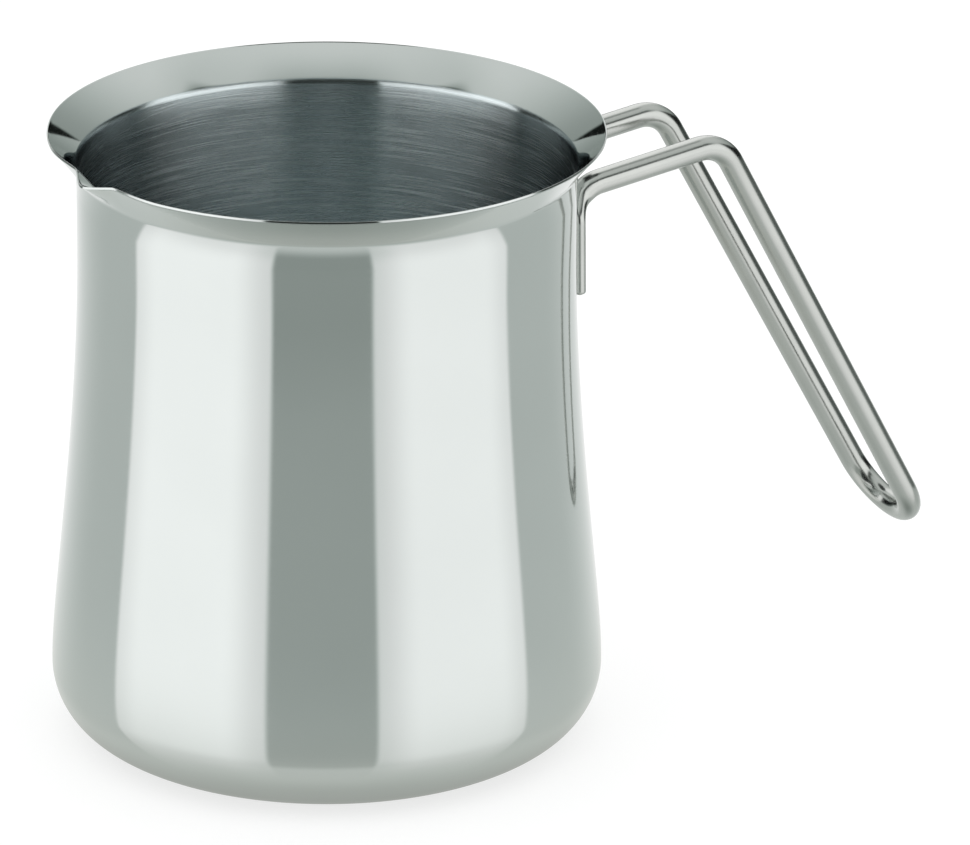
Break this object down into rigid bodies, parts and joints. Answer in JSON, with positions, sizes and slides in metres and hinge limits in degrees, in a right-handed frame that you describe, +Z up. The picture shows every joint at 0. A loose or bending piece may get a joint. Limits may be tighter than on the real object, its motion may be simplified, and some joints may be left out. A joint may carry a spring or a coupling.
{
  "type": "milk pot",
  "caption": "Tall round steel milk pot with a flared rim, a small folded pouring spout and a long looped wire handle, for heating and pouring liquids.",
  "frame": {"origin": "centre of the underside of the flat base, on the axis of the pot", "axes": "+Z up along the axis of the pot, +X from the axis towards the handle, +Y completes a right-handed frame; the spout lies near -X"},
  "size_m": [0.195, 0.1102, 0.125],
  "materials": {
    "polished_steel": "mirror polished outside and on the flare, brushed around the inside",
    "handle_wire": "drawn wire, polished",
    "weld_steel": "dull, slightly heat tinted"
  },
  "bodies": {
    "root": {"pot_body": "polished_steel", "wire_handle": "handle_wire", "spot_weld_right_lower": "weld_steel", "spot_weld_right_upper": "weld_steel", "spot_weld_left_lower": "weld_steel", "spot_weld_left_upper": "weld_steel"}
  },
  "joints": []
}
